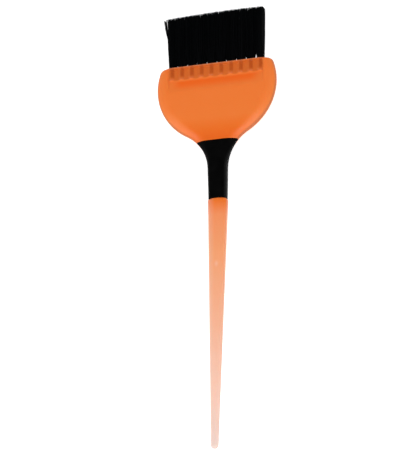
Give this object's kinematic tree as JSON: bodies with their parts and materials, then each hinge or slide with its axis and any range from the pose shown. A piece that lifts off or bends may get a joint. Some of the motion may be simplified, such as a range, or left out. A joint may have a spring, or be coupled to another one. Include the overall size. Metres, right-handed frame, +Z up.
{
  "type": "tint brush",
  "caption": "Wide hair-colour brush: round-sided translucent paddle with a straight bristle edge, soft black neck grip, tapering tail and a row of stapled black bristle tufts.",
  "frame": {"origin": "on the surface the brush lies on, under the centre of its bounding box", "axes": "+Y along the brush towards the bristle tips, +Z up out of the paddle's face, X across the paddle"},
  "size_m": [0.0604, 0.2296, 0.0161],
  "materials": {
    "handle_plastic": "translucent orange moulding, satin, paler where it is thin towards the tail",
    "grip_rubber": "fine matte soft-touch overmould",
    "bristle_nylon": "black nylon filament",
    "staple_steel": "flat drawn strip"
  },
  "bodies": {
    "handle": {"handle_body": "handle_plastic", "soft_grip": "grip_rubber", "tuft_root_01": "bristle_nylon", "tuft_root_02": "bristle_nylon", "tuft_root_03": "bristle_nylon", "tuft_root_04": "bristle_nylon", "tuft_root_05": "bristle_nylon", "tuft_root_06": "bristle_nylon", "tuft_root_07": "bristle_nylon", "tuft_root_08": "bristle_nylon", "tuft_root_09": "bristle_nylon", "tuft_root_10": "bristle_nylon", "staple_01": "staple_steel", "staple_02": "staple_steel", "staple_03": "staple_steel", "staple_04": "staple_steel", "staple_05": "staple_steel", "staple_06": "staple_steel", "staple_07": "staple_steel", "staple_08": "staple_steel", "staple_09": "staple_steel", "staple_10": "staple_steel"},
    "bristles": {"tuft_01": "bristle_nylon", "tuft_02": "bristle_nylon", "tuft_03": "bristle_nylon", "tuft_04": "bristle_nylon", "tuft_05": "bristle_nylon", "tuft_06": "bristle_nylon", "tuft_07": "bristle_nylon", "tuft_08": "bristle_nylon", "tuft_09": "bristle_nylon", "tuft_10": "bristle_nylon"}
  },
  "joints": [
    {"name": "bristle_flex", "type": "hinge", "parent": "handle", "child": "bristles", "pos_m": [0, 0.08865, 0.0038], "axis": [1, 0, 0], "range_deg": [-30, 30], "stiffness_Nm_per_rad": 0.1}
  ]
}
